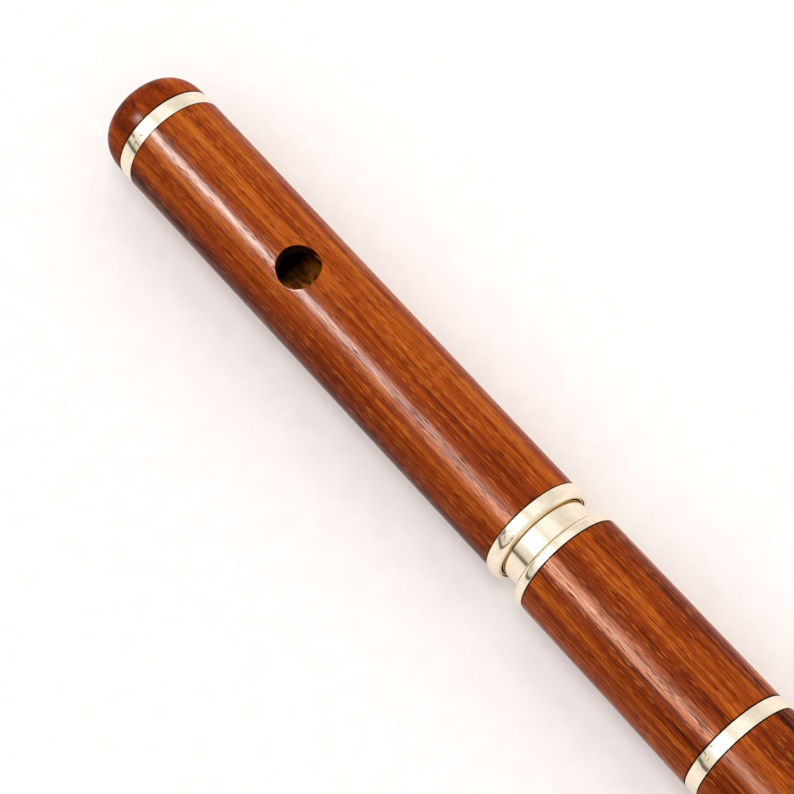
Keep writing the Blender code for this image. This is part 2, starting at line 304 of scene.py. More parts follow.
def turned(name, corners, holes=(), shape=None):
    """A smooth turned mesh round the tube's axis. shape(x, angle, r) may change a radius."""
    closed = not (corners[0][1] == 0 and corners[-1][1] == 0)
    rows = softened(corners, closed)
    for number, hole in enumerate(holes):
        rows = with_hole_rows(rows, number, hole)
    bm = bmesh.new()
    grid = []
    for row in rows:
        x, r, _ = row
        if r == 0:
            grid.append([bm.verts.new((x, 0, 0))] * SIDES)
            continue
        line = []
        for j in range(SIDES):
            angle = math.tau * j / SIDES
            if is_inside_patch(row, j, holes):
                line.append(None)
                continue
            reach = shape(x, angle, r) if shape else r
            line.append(bm.verts.new((x, reach * math.sin(angle), reach * math.cos(angle))))
        grid.append(line)
    for i in range(len(rows) if closed else len(rows) - 1):
        one, two = grid[i], grid[(i + 1) % len(rows)]
        for j in range(SIDES):
            if in_patch(rows, i, j, holes):
                continue
            k = (j + 1) % SIDES
            ring = [one[j], one[k], two[k], two[j]]
            corners_of_face = [v for n, v in enumerate(ring) if v not in ring[:n]]
            if len(corners_of_face) > 2:
                bm.faces.new(corners_of_face)
    for number, hole in enumerate(holes):
        drill(bm, grid, rows, number, hole)
    bmesh.ops.recalc_face_normals(bm, faces=bm.faces)
    bmesh.ops.translate(bm, verts=bm.verts, vec=(0, 0, AXIS_Z))
    mesh = bpy.data.meshes.new(name)
    bm.to_mesh(mesh)
    bm.free()
    mesh.shade_smooth()
    mesh.set_sharp_from_angle(angle=SMOOTH_LIMIT)
    made = bpy.data.objects.new(name, mesh)
    bpy.context.scene.collection.objects.link(made)
    return made


def dress(piece, node, body, look):
    """Puts a new piece in its CAD node's place, on its body, in its material."""
    piece.data.materials.append(look)
    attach(piece, body)
    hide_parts(node)
    return piece


# --- materials --------------------------------------------------------------------------------


class Graph:
    """A short way to write a node tree."""

    def __init__(self, tree):
        self.tree = tree

    def add(self, kind, inputs=None, **settings):
        """A node whose inputs are sockets to link or values to set."""
        made = self.tree.nodes.new(kind)
        for key, value in settings.items():
            setattr(made, key, value)
        for key, value in (inputs or {}).items():
            if isinstance(value, bpy.types.NodeSocket):
                self.tree.links.new(value, made.inputs[key])
            else:
                made.inputs[key].default_value = value
        return made

    def math(self, operation, *values):
        """A Math node's result. A value is a socket or a number."""
        made = self.add("ShaderNodeMath", operation=operation)
        for i, value in enumerate(values):
            if isinstance(value, bpy.types.NodeSocket):
                self.tree.links.new(value, made.inputs[i])
            else:
                made.inputs[i].default_value = value
        return made.outputs[0]

    def ramp(self, factor, stops, mode="EASE"):
        """A colour ramp from (place, colour) stops."""
        made = self.add("ShaderNodeValToRGB", {"Fac": factor})
        made.color_ramp.interpolation = mode
        elements = made.color_ramp.elements
        while len(elements) < len(stops):
            elements.new(0.5)
        for element, (place, colour) in zip(elements, stops):
            element.position = place
            element.color = (*colour, 1) if len(colour) == 3 else colour
        return made.outputs["Color"]

    def mix(self, factor, one, two):
        """The colour one where factor is 0, and two where it is 1."""
        made = self.add("ShaderNodeMix", data_type="RGBA", blend_type="MIX")
        for index, value in ((0, factor), (6, one), (7, two)):
            if isinstance(value, bpy.types.NodeSocket):
                self.tree.links.new(value, made.inputs[index])
            else:
                made.inputs[index].default_value = value
        return made.outputs[2]

    def noise(self, vector, scale, detail=2.0, roughness=0.5, distortion=0.0):
        """Noise from 0 to 1 at a scale per unit of the vector."""
        made = self.add(
            "ShaderNodeTexNoise",
            {
                "Vector": vector,
                "Scale": scale,
                "Detail": detail,
                "Roughness": roughness,
                "Distortion": distortion,
            },
        )
        return made.outputs["Fac"]

    def stretched(self, vector, along, across, shift=(0, 0, 0)):
        """The vector scaled along and across the grain, and moved."""
        made = self.add(
            "ShaderNodeMapping",
            {"Vector": vector, "Scale": (along, across, across), "Location": shift},
        )
        return made.outputs["Vector"]

    def dashes(self, vector, along, across, size, seed):
        """A mask of short dashes along the grain, 1 in the middle of each."""
        cells = self.add(
            "ShaderNodeTexVoronoi",
            {"Vector": self.stretched(vector, along, across, seed), "Scale": 1.0, "Randomness": 1.0},
        )
        made = self.add(
            "ShaderNodeMapRange",
            {
                "Value": cells.outputs["Distance"],
                "From Min": size * 0.6,
                "From Max": size,
                "To Min": 1.0,
                "To Max": 0.0,
            },
        )
        return made.outputs["Result"], cells.outputs["Color"]


def new_material(name):
    """A new material, its graph and its shader node."""
    made = bpy.data.materials.new(name)
    made.use_nodes = True
    tree = made.node_tree
    return made, Graph(tree), tree.nodes["Principled BSDF"]


# Rosewood's colours, from its darkest streaks to its lightest, of what lies on or in it, and of
# painted shade and light in its holes and bore.
DARK = (0.030, 0.0045, 0.0012)
RED_BROWN = (0.125, 0.0165, 0.0026)
MID_BROWN = (0.220, 0.0310, 0.0036)
ORANGE = (0.340, 0.0690, 0.0062)
GOLD = (0.520, 0.1600, 0.0230)
FLECK = (0.540, 0.1750, 0.0300, 1)
PORE = (0.014, 0.0035, 0.0015, 1)
# The next colour is old oil with painted shade, for the holes, the bore and the seams. The one after
# it is painted light, for the head's bore where light falls in through the embouchure.
OIL_AND_PAINTED_SHADE = (0.012, 0.0035, 0.0012, 1)
BORE_PAINTED_LIGHT = (0.720, 0.2050, 0.0280, 1)

# Noise scales per mm, along and across the grain, and how far the streaks wander, in mm.
WANDER = (0.012, 0.05)
WANDER_REACH = (0.0, 3.0, 3.0)
BROAD = (0.006, 0.16)
STREAK = (0.016, 0.75)
FIBRE = (0.10, 4.2)
PATCH = (0.16, 0.40)

# Dashes: scales per mm along and across the grain, size, seed, and the share left out.
FLECKS = (0.20, 2.6, 0.30, (3.1, 7.7, 1.3), 0.55)
FINE_PORES = (0.22, 2.7, 0.30, (0.0, 0.0, 0.0), 0.45)
VESSELS = (0.12, 1.3, 0.16, (9.0, 2.0, 5.0), 0.40)

# Depth below the surface is measured in shares of this, a little more than the head's wall.
FULL_DEPTH = 5 * MM

# The ends of a mask.
BLACK = (0.0, 0.0, 0.0)
WHITE = (1.0, 1.0, 1.0)


def spots(g, mm, along, across, size, seed, left_out):
    """A mask of those dashes whose own random value is above left_out."""
    mask, hue = g.dashes(mm, along, across, size, seed)
    value = g.add("ShaderNodeSeparateColor", {"Color": hue}).outputs[0]
    return g.math("MULTIPLY", mask, g.math("GREATER_THAN", value, left_out))


def wandering(g, mm):
    """The vector, moved a little sideways so that the streaks aren't straight."""
    noise = g.add(
        "ShaderNodeTexNoise",
        {"Vector": g.stretched(mm, *WANDER), "Scale": 1.0, "Detail": 2.0},
    ).outputs["Color"]
    sideways = g.add(
        "ShaderNodeVectorMath",
        {0: noise, 1: WANDER_REACH},
        operation="MULTIPLY",
    ).outputs[0]
    return g.add("ShaderNodeVectorMath", {0: mm, 1: sideways}, operation="ADD").outputs[0]


def depth_below(g, split, skin):
    """How deep a point lies below the outer surface, in shares of FULL_DEPTH."""
    (low, low_r), (high, high_r) = skin
    slope = (high_r - low_r) / (high - low)
    surface = g.math("MULTIPLY_ADD", split["X"], slope, low_r - low * slope)
    height = g.math("SUBTRACT", split["Z"], AXIS_Z)
    square = g.math("MULTIPLY", split["Y"], split["Y"])
    radius = g.math("SQRT", g.math("MULTIPLY_ADD", height, height, square))
    return g.math("DIVIDE", g.math("SUBTRACT", surface, radius), FULL_DEPTH)


def oiled_and_shaded_inside(g, colour, mm, split, skin, bore_light):
    """The colour, dark with old oil and painted shade in the holes and the bore, with patches of
    painted light in the bore where wear says.
    """
    depth = depth_below(g, split, skin)
    # Painted shade with old oil: all wood below the outer surface darkens, the walls of the holes
    # fully and the bore in patches.
    oil_and_shade = g.ramp(depth, [(0.004, BLACK), (0.03, WHITE)])
    above_bore = g.ramp(depth, [(0.895, WHITE), (0.935, BLACK)])
    patch = g.noise(g.stretched(mm, *PATCH), 1.0, 5.0, 0.65)
    kept = g.ramp(patch, [(0.42, WHITE), (0.60, BLACK)])
    if bore_light:
        # Painted light: along these places the bore's painted shade gives way to patches of a light
        # golden colour, where light falls in through the embouchure.
        lit_share = g.add(
            "ShaderNodeMapRange",
            {"Value": split["X"], "From Min": bore_light[0], "From Max": bore_light[1]},
        ).outputs["Result"]
        lit_patch = g.math("MULTIPLY", lit_share, g.math("MULTIPLY_ADD", kept, -1.0, 1.2))
        kept = g.math("SUBTRACT", 1.0, lit_patch)
        in_bore = g.ramp(depth, [(0.895, BLACK), (0.935, WHITE)])
        colour = g.mix(g.math("MULTIPLY", in_bore, 0.8), colour, BORE_PAINTED_LIGHT)
    else:
        kept = g.math("MULTIPLY_ADD", kept, 0.5, 0.5)
    oil_and_shade = g.math("MULTIPLY", oil_and_shade, g.math("MAXIMUM", above_bore, kept))
    return g.mix(oil_and_shade, colour, OIL_AND_PAINTED_SHADE)


def rosewood(
    name, seed, shift, skin=None, edges=(), contrast=1.0, painted_side_light=0.0, fibres=1.0, flecks=0.6,
    polish=1.0, bore_light=None,
):
    """Oiled rosewood: streaks along X, dark pores and golden flecks.

    shift makes the piece lighter or darker, lean paints light on its +Y side and shade on the other,
    and contrast, fibres, flecks and polish set its streaks, fine grain, golden flecks and gloss.
    skin gives two (x, radius) places on the outer surface: the wood below it, in the bore and the
    holes, is dark with old oil and painted shade. wear gives the two places along X between which
    the bore fades to patches of painted light. edges are the seams, dark with old oil and painted
    shade.
    """
    made, g, shader = new_material(name)
    place = g.add("ShaderNodeTexCoord").outputs["Object"]
    mm = g.stretched(place, 1 / MM, 1 / MM, seed)
    bent = wandering(g, mm)
    broad = g.noise(g.stretched(bent, *BROAD), 1.0, 3.0, 0.55)
    streak = g.noise(g.stretched(bent, *STREAK), 1.0, 4.0, 0.62)
    fibre = g.noise(g.stretched(bent, *FIBRE), 1.0, 3.0, 0.65)
    tone = g.math("MULTIPLY_ADD", g.math("SUBTRACT", broad, 0.5), 1.0 * contrast, 0.5 + shift)
    tone = g.math("MULTIPLY_ADD", g.math("SUBTRACT", streak, 0.5), 0.8 * contrast, tone)
    tone = g.math("MULTIPLY_ADD", g.math("SUBTRACT", fibre, 0.5), fibres, tone)
    split = g.add("ShaderNodeSeparateXYZ", {"Vector": place}).outputs
    # Painted light and shade: the +Y side, towards the key lamp, is made lighter and the -Y side
    # darker.
    tone = g.math("MULTIPLY_ADD", split["Y"], painted_side_light / BODY_TOP_R, tone)
    colour = g.ramp(
        tone,
        [(0.12, DARK), (0.34, RED_BROWN), (0.52, MID_BROWN), (0.70, ORANGE), (0.95, GOLD)],
        "LINEAR",
    )
    colour = g.mix(g.math("MULTIPLY", spots(g, mm, *FLECKS), flecks), colour, FLECK)
    pores = g.math(
        "MAXIMUM",
        g.math("MULTIPLY", spots(g, mm, *FINE_PORES), 0.85),
        spots(g, mm, *VESSELS),
    )
    colour = g.mix(g.math("MULTIPLY", pores, 0.92), colour, PORE)
    if skin:
        colour = oiled_and_shaded_inside(g, colour, mm, split, skin, bore_light)
    # Painted shade with old oil: the wood darkens beside each seam, where the gap's shade falls.
    for edge in edges:
        off = g.math("ABSOLUTE", g.math("SUBTRACT", split["X"], edge))
        near = g.ramp(g.math("DIVIDE", off, MM), [(0.24, (0.8, 0.8, 0.8)), (0.44, BLACK)])
        colour = g.mix(near, colour, OIL_AND_PAINTED_SHADE)

    # The fibres and pores also shape the surface and its gloss.
    grain = g.math("MULTIPLY_ADD", fibre, 0.5, g.math("MULTIPLY", pores, -0.4))
    bump = g.add("ShaderNodeBump", {"Height": grain, "Distance": 0.06 * MM, "Strength": 0.6})
    rough = g.math("MULTIPLY_ADD", fibre, 0.18, 0.11)
    level = 0.03 * polish
    shine = g.math("MULTIPLY_ADD", g.math("SUBTRACT", fibre, 0.5), 4.0 * level, level)
    gloss = g.math("MULTIPLY", g.math("MAXIMUM", shine, 0.004), g.math("SUBTRACT", 1.0, pores))
    g.tree.links.new(colour, shader.inputs["Base Color"])
    g.tree.links.new(rough, shader.inputs["Roughness"])
    g.tree.links.new(bump.outputs["Normal"], shader.inputs["Normal"])
    g.tree.links.new(gloss, shader.inputs["Specular IOR Level"])
    return made


def silver(name, colour=(0.94, 0.83, 0.66), roughness=0.07):
    """Polished silver with faint turning marks and a slight waviness."""
    made, g, shader = new_material(name)
    place = g.add("ShaderNodeTexCoord").outputs["Object"]
    mm = g.stretched(place, 1 / MM, 1 / MM)
    marks = g.noise(g.stretched(mm, 9.0, 0.25), 1.0, 3.0, 0.6)
    wave = g.noise(g.stretched(mm, 0.35, 0.35), 1.0, 1.0, 0.5)
    height = g.math("MULTIPLY_ADD", marks, 0.05, wave)
    bump = g.add("ShaderNodeBump", {"Height": height, "Distance": 0.012 * MM, "Strength": 0.3})
    smear = g.noise(g.stretched(mm, 0.6, 0.6), 1.0, 3.0, 0.6)
    rough = g.math("MULTIPLY_ADD", smear, 0.06, roughness - 0.03)
    duller = tuple(0.94 * c for c in colour)
    tarnish = g.ramp(smear, [(0.35, duller), (0.65, colour)])
    g.tree.links.new(tarnish, shader.inputs["Base Color"])
    g.tree.links.new(rough, shader.inputs["Roughness"])
    g.tree.links.new(bump.outputs["Normal"], shader.inputs["Normal"])
    shader.inputs["Metallic"].default_value = 1.0
    return made


def cork(name):
    """Natural cork: warm brown with darker pits."""
    made, g, shader = new_material(name)
    place = g.add("ShaderNodeTexCoord").outputs["Object"]
    mm = g.stretched(place, 1 / MM, 1 / MM)
    grain = g.noise(mm, 1.6, 5.0, 0.65)
    pits = g.noise(g.stretched(mm, 0.9, 0.5), 1.0, 3.0, 0.7)
    colour = g.ramp(grain, [(0.3, (0.36, 0.20, 0.095)), (0.7, (0.62, 0.40, 0.22))])
    pit = g.ramp(pits, [(0.30, WHITE), (0.40, BLACK)])
    colour = g.mix(g.math("MULTIPLY", pit, 0.8), colour, (0.13, 0.06, 0.03, 1))
    bump = g.add("ShaderNodeBump", {"Height": grain, "Distance": 0.2 * MM, "Strength": 0.7})
    g.tree.links.new(colour, shader.inputs["Base Color"])
    g.tree.links.new(bump.outputs["Normal"], shader.inputs["Normal"])
    shader.inputs["Roughness"].default_value = 0.85
    return made


# --- pieces -----------------------------------------------------------------------------------

SILVER = silver("polished_silver")
TUBE_SILVER = silver("slide_silver", roughness=0.09)
BRASS = silver("polished_brass", colour=(0.80, 0.56, 0.20), roughness=0.16)
CORK = cork("natural_cork")

# A skin is two (x, radius) places on the outer surface of the wood.
HEAD_SKIN = ((HEAD_SHOULDER, HEAD_CROWN_R), (HEAD_RING_SEAM, HEAD_SLIDE_R))
BARREL_SKIN = ((BARREL_SEAM, BARREL_TOP_R), (BARREL_RING_SEAM, BODY_TOP_R))
BODY_SKIN = ((BODY_SEAM, BODY_TOP_R), (FOOT_END, BODY_END_R))
# From the first of these places to the second, the head's bore fades to patches of painted light,
# where light falls in through the embouchure.
BORE_LIGHT_SPAN = (EMBOUCHURE_X - 11.5 * MM, EMBOUCHURE_X - 5.5 * MM)
CAP_LOOK = rosewood(
    "rosewood_cap", (70.0, 13.0, 18.0), -0.02, edges=(CROWN_SEAM,),
    fibres=0.5, flecks=0.1, polish=0.45,
)
HEAD_LOOK = rosewood(
    "rosewood_head", (11.0, 3.0, 8.0), 0.04, HEAD_SKIN, (HEAD_SHOULDER, HEAD_RING_SEAM),
    painted_side_light=0.15, fibres=0.75, bore_light=BORE_LIGHT_SPAN,
)
BARREL_LOOK = rosewood(
    "rosewood_barrel", (47.0, -27.0, 19.0), -0.045, BARREL_SKIN,
    (BARREL_SEAM, BARREL_RING_SEAM - CLEAR),
    contrast=1.25, painted_side_light=0.08,
)
BODY_LOOK = rosewood(
    "rosewood_left_hand", (160.0, 31.0, -12.0), -0.045, BODY_SKIN, (BODY_SEAM, RIGHT_SEAM),
    contrast=1.2,
)
RIGHT_LOOK = rosewood(
    "rosewood_right_hand", (230.0, -8.0, 27.0), -0.01, BODY_SKIN, (FOOT_SEAM,),
    contrast=1.15,
)
FOOT_LOOK = rosewood(
    "rosewood_foot", (310.0, 17.0, 42.0), 0.0, BODY_SKIN, (FOOT_RING_SEAM,),
    contrast=1.1,
)


def hole_at(x, length, width, undercut, edge):
    """A hole through the top wall, with the patch of grid that it takes.

    undercut is how many times wider the hole is at the bore, and edge rounds its rim.
    """
    columns = math.ceil((width / 2 + MARGIN_AROUND) / PATCH_R / math.tau * SIDES)
    reach = length / 2 + MARGIN_ALONG
    return {
        "x": x,
        "a": length / 2,
        "b": width / 2,
        "undercut": undercut,
        "edge": edge,
        "columns": columns,
        "rows": 2 * columns,
        "reach": reach,
    }


# Finger holes: distance from the embouchure, and width.
HOLES = {
    "left_hand": ((222.0 * MM, 7.5 * MM), (257.0 * MM, 8.5 * MM), (294.0 * MM, 7.0 * MM)),
    "right_hand": ((347.0 * MM, 8.2 * MM), (379.0 * MM, 9.2 * MM), (411.0 * MM, 6.6 * MM)),
}


def finger_holes(hand):
    """The three holes of one hand."""
    return [
        hole_at(EMBOUCHURE_X + distance, width, width, 1.05, 0.35 * MM)
        for distance, width in HOLES[hand]
    ]


# The cap's dome is a superellipse: 2 is round, and more is squarer.
DOME_POWER = 2.65
DOME_STEPS = 30


def crown():
    """The cap with its spigot, and its threaded screw."""
    face = CROWN_SEAM - SEAM
    dome = [(TIP, 0)]
    for k in range(DOME_STEPS - 1, 0, -1):
        turn = math.pi / 2 * k / DOME_STEPS
        along = 1 - math.sin(turn) ** (2 / DOME_POWER)
        across = math.cos(turn) ** (2 / DOME_POWER)
        dome.append((TIP + (face - TIP) * along, CAP_R * across))
    spigot = end_of("crown_cap")
    socket = start_of("crown_screw") - CLEAR
    inside = [
        (face, CAP_R, 0.22 * MM),
        (face, STOPPER_R),
        (spigot, STOPPER_R, 0.4 * MM),
        (spigot, SCREW_R + CLEAR),
        (socket, SCREW_R + CLEAR),
        (socket, 0),
    ]
    dress(turned("cap", dome + inside), "crown_cap", "crown", CAP_LOOK)

    low, high = start_of("crown_screw"), end_of("crown_screw")
    rows_a_turn = 8
    count = round((high - low) / (SCREW_PITCH / rows_a_turn))
    rod = [(low, 0), (low, SCREW_R - THREAD_DEPTH, 0.2 * MM)]
    rod += [(low + (high - low) * k / count, SCREW_R) for k in range(rows_a_turn, count - 4)]
    rod += [(high, SCREW_R - THREAD_DEPTH - 0.4 * MM, 0.2 * MM), (high, 0)]

    def thread(x, angle, r):
        if r < SCREW_R:
            return r
        phase = (x / SCREW_PITCH - angle / math.tau) % 1
        return r - THREAD_DEPTH * (1 - abs(2 * phase - 1))

    dress(turned("screw", rod, shape=thread), "crown_screw", "crown", BRASS)


def stopper():
    """The cork plug with the screw's socket, and its silver face."""
    low, high = start_of("stopper_cork"), end_of("stopper_cork")
    hole = SCREW_R + CLEAR
    bottom = low + STOPPER_SOCKET
    plug = [
        (bottom, 0),
        (bottom, hole),
        (low, hole),
        (low, STOPPER_R, 0.5 * MM),
        (high, STOPPER_R, 0.3 * MM),
        (high, 0),
    ]
    dress(turned("stopper_plug", plug), "stopper_cork", "stopper", CORK)
    low, high = start_of("stopper_plate"), end_of("stopper_plate")
    plate = [(low, 0), (low, STOPPER_R, 0.2 * MM), (high, STOPPER_R, 0.3 * MM), (high, 0)]
    dress(turned("stopper_face", plate), "stopper_plate", "stopper", SILVER)


def ring(name, node, body, start, end, corners, inner):
    """A silver ring whose outer profile is given as (share of width, radius, rounding)."""
    width = end - start
    profile = [(start, inner)]
    profile += [(start + width * share, radius, rounding) for share, radius, rounding in corners]
    profile.append((end, inner))
    return dress(turned(name, profile), node, body, SILVER)


def crowned(outer, drop, edge=0.2 * MM, last_edge=0.2 * MM):
    """A band's outer profile, highest in its middle: drop is how far its two edges lie lower."""
    return [(0, outer - drop, edge), (0.5, outer, 1.3 * MM), (1, outer - drop, last_edge)]


def head():
    """The head's tube with the embouchure, its two rings and the slide's liner."""
    socket = start_of("head_slide_liner") - CLEAR
    seat = radius_of("crown_ring") - RING_SEAT
    shoulder = HEAD_SHOULDER + 0.06 * MM
    wood_end = HEAD_RING_SEAM - 0.26 * MM
    wood = [
        (CROWN_SEAM + SEAM, BORE_R),
        (CROWN_SEAM + SEAM, seat),
        (shoulder, seat),
        (shoulder, HEAD_CROWN_R, 0.10 * MM),
        (wood_end, HEAD_SLIDE_R, 0.15 * MM),
        (wood_end, LINER_R + CLEAR),
        (socket, LINER_R + CLEAR),
        (socket, BORE_R, 0.3 * MM),
    ]
    embouchure = hole_at(EMBOUCHURE_X, 11.7 * MM, 11.4 * MM, 1.06, 0.14 * MM)
    dress(turned("head_tube", wood, [embouchure]), "head_wood", "head", HEAD_LOOK)

    outer = radius_of("crown_ring") + 0.06 * MM
    ring(
        "crown_band", "crown_ring", "head", CROWN_SEAM + SEAM, HEAD_SHOULDER - 0.01 * MM,
        [
            (0, outer - 0.14 * MM, 0.12 * MM),
            (0.5, outer, 1.2 * MM),
            (1, outer - 0.10 * MM, 0.10 * MM),
        ],
        outer - RING_WALL,
    )
    liner_end = HEAD_END - 0.35 * MM
    liner = [
        (socket + CLEAR, LINER_R - LINER_WALL),
        (socket + CLEAR, LINER_R),
        (liner_end, LINER_R, 0.08 * MM),
        (liner_end, LINER_R - LINER_WALL, 0.08 * MM),
    ]
    dress(turned("slide_liner", liner), "head_slide_liner", "head", BRASS)
    outer = radius_of("head_slide_ring")
    ring(
        "head_slide_bead", "head_slide_ring", "head", HEAD_RING_SEAM, HEAD_END,
        [
            (0, outer - 0.30 * MM, 0.25 * MM),
            (0.35, outer, 1.0 * MM),
            (0.72, outer, 1.2 * MM),
            (1, outer - 1.05 * MM, 0.5 * MM),
        ],
        LINER_R + CLEAR,
    )


def barrel():
    """The barrel's wood with the slide's core, the slide tube and the two rings."""
    core = start_of("barrel_slide_tube")
    core_r = SLIDE_TUBE_R - SLIDE_TUBE_WALL - 0.05 * MM
    outer = radius_of("barrel_socket_ring")
    seat = outer - RING_SEAT
    socket_r = radius_of("left_hand_upper_cork") + CLEAR
    socket = start_of("left_hand_wood") - SOCKET_GAP
    shoulder = BARREL_SEAM + 0.18 * MM
    ring_shoulder = BARREL_RING_SEAM - 0.32 * MM
    wood = [
        (core, BORE_R, 0.2 * MM),
        (core, core_r, 0.2 * MM),
        (shoulder, core_r),
        (shoulder, BARREL_TOP_R, 0.12 * MM),
        (ring_shoulder, BODY_TOP_R, 0.12 * MM),
        (ring_shoulder, seat),
        (BODY_SEAM - CLEAR, seat),
        (BODY_SEAM - CLEAR, socket_r, 0.3 * MM),
        (socket, socket_r),
        (socket, BORE_R, 0.3 * MM),
    ]
    dress(turned("barrel_tube", wood), "barrel_wood", "barrel", BARREL_LOOK)
    sleeve = [
        (core, SLIDE_TUBE_R - SLIDE_TUBE_WALL),
        (core, SLIDE_TUBE_R, 0.2 * MM),
        (BARREL_SEAM, SLIDE_TUBE_R),
        (BARREL_SEAM, SLIDE_TUBE_R - SLIDE_TUBE_WALL),
    ]
    dress(turned("slide_sleeve", sleeve), "barrel_slide_tube", "barrel", TUBE_SILVER)
    slide_outer = radius_of("barrel_slide_ring")
    ring(
        "barrel_slide_bead", "barrel_slide_ring", "barrel", BARREL_START, BARREL_SEAM - 0.03 * MM,
        [
            (0, slide_outer - 1.25 * MM, 0.5 * MM),
            (0.33, slide_outer, 1.2 * MM),
            (0.75, slide_outer, 0.9 * MM),
            (1, slide_outer - 0.25 * MM, 0.2 * MM),
        ],
        SLIDE_TUBE_R + 0.02 * MM,
    )
    ring(
        "barrel_socket_band", "barrel_socket_ring", "barrel",
        BARREL_RING_SEAM - CLEAR, BODY_SEAM - 0.03 * MM,
        crowned(outer, BAND_DROP), outer - RING_WALL,
    )


def tenon(shoulder, end, radius):
    """Corners of a tenon from its shoulder to its end, with the cork's channel."""
    out = math.copysign(1, end - shoulder)
    lip = radius - 0.12 * MM
    channel = radius - CORK_WALL - 0.1 * MM
    return [
        (shoulder, lip),
        (shoulder + out * TENON_LIP, lip, 0.2 * MM),
        (shoulder + out * TENON_LIP, channel),
        (end - out * TENON_LIP, channel),
        (end - out * TENON_LIP, lip, 0.2 * MM),
        (end, lip, 0.5 * MM),
    ]


def lapping(name, node, body):
    """A cork lapping, a little uneven, with soft edges."""
    low, high = start_of(node) - 0.2 * MM, end_of(node) + 0.2 * MM
    outer = radius_of(node)
    inner = outer - CORK_WALL
    steps = 24
    profile = [(low, inner), (low, outer, 0.5 * MM)]
    profile += [(low + (high - low) * k / steps, outer) for k in range(2, steps - 1)]
    profile += [(high, outer, 0.5 * MM), (high, inner)]

    def uneven(x, angle, r):
        if r < outer:
            return r
        wave = math.sin(5 * angle + x / (2.1 * MM)) * math.sin(9 * angle - x / (1.3 * MM))
        return r - 0.04 * MM * (1 + wave)

    dress(turned(name, profile, shape=uneven), node, body, CORK)


def left_hand():
    """The left-hand joint with its two corked tenons."""
    upper_end = start_of("left_hand_wood")
    lower_end = end_of("left_hand_wood")
    upper = tenon(BODY_SEAM, upper_end, radius_of("left_hand_upper_cork"))
    lower = tenon(RIGHT_SEAM, lower_end, radius_of("left_hand_lower_cork"))
    shoulder = BODY_SEAM + 0.20 * MM
    wood = [(upper_end, bore_radius(upper_end), 0.3 * MM)]
    wood += upper[:0:-1]
    wood += [
        (shoulder, upper[0][1]),
        (shoulder, body_radius(BODY_SEAM), 0.15 * MM),
        (RIGHT_SEAM - SEAM, body_radius(RIGHT_SEAM), 0.15 * MM),
        (RIGHT_SEAM - SEAM, lower[0][1]),
    ]
    wood += lower[1:]
    wood.append((lower_end, bore_radius(lower_end), 0.3 * MM))
    tube = turned("left_hand_tube", wood, finger_holes("left_hand"))
    dress(tube, "left_hand_wood", "left_hand", BODY_LOOK)
    lapping("upper_lapping", "left_hand_upper_cork", "left_hand")
    lapping("middle_lapping", "left_hand_lower_cork", "left_hand")


def socketed(start, inner_end, cork_node):
    """Corners from the bottom of a ringed socket to the shoulder below its ring."""
    seat = body_radius(start) + RING_PROUD - RING_SEAT
    ring_end = start + LOWER_RING_WIDTH
    socket_r = radius_of(cork_node) + CLEAR
    return [
        (inner_end, bore_radius(inner_end), 0.3 * MM),
        (inner_end, socket_r),
        (start + SEAM, socket_r, 0.3 * MM),
        (start + SEAM, seat),
        (ring_end + SEAM, seat),
        (ring_end + SEAM, body_radius(ring_end), 0.12 * MM),
    ]


def socket_band(name, node, body, start):
    """The ring round a lower joint's socket."""
    outer = radius_of(node)
    ring(
        name, node, body, start + 0.05 * MM, start + LOWER_RING_WIDTH,
        crowned(outer, BAND_DROP), outer - RING_WALL,
    )


def right_hand():
    """The right-hand joint with its socket, ring and corked tenon."""
    end = end_of("right_hand_wood")
    lower = tenon(FOOT_SEAM, end, radius_of("right_hand_lower_cork"))
    wood = socketed(RIGHT_SEAM, end_of("left_hand_wood") + SOCKET_GAP, "left_hand_lower_cork")
    wood += [
        (FOOT_SEAM - SEAM, body_radius(FOOT_SEAM), 0.15 * MM),
        (FOOT_SEAM - SEAM, lower[0][1]),
    ]
    wood += lower[1:]
    wood.append((end, bore_radius(end), 0.3 * MM))
    tube = turned("right_hand_tube", wood, finger_holes("right_hand"))
    dress(tube, "right_hand_wood", "right_hand", RIGHT_LOOK)
    socket_band("right_hand_band", "right_hand_socket_ring", "right_hand", RIGHT_SEAM)
    lapping("foot_lapping", "right_hand_lower_cork", "right_hand")


def foot():
    """The foot with its socket and two rings."""
    outer = radius_of("foot_end_ring")
    seat = outer - RING_SEAT
    shoulder = FOOT_RING_SEAM - 0.05 * MM
    wood = socketed(FOOT_SEAM, end_of("right_hand_wood") + SOCKET_GAP, "right_hand_lower_cork")
    wood += [
        (shoulder, body_radius(FOOT_RING_SEAM), 0.12 * MM),
        (shoulder, seat),
        (FOOT_END, seat),
        (FOOT_END, bore_radius(FOOT_END), 0.4 * MM),
    ]
    dress(turned("foot_tube", wood), "foot_wood", "foot", FOOT_LOOK)
    socket_band("foot_band", "foot_socket_ring", "foot", FOOT_SEAM)
    ring(
        "foot_end_band", "foot_end_ring", "foot", FOOT_RING_SEAM, FOOT_END,
        crowned(outer, 0.25 * MM, last_edge=0.4 * MM), outer - RING_WALL,
    )


crown()
stopper()
head()
barrel()
left_hand()
right_hand()
foot()


# --- floor, light and camera ------------------------------------------------------------------

FLOOR_SIZE = 20.0
FLOOR_GLOW = (1.0, 0.80, 0.67, 1)
FLOOR_GLOW_STRENGTH = 0.24


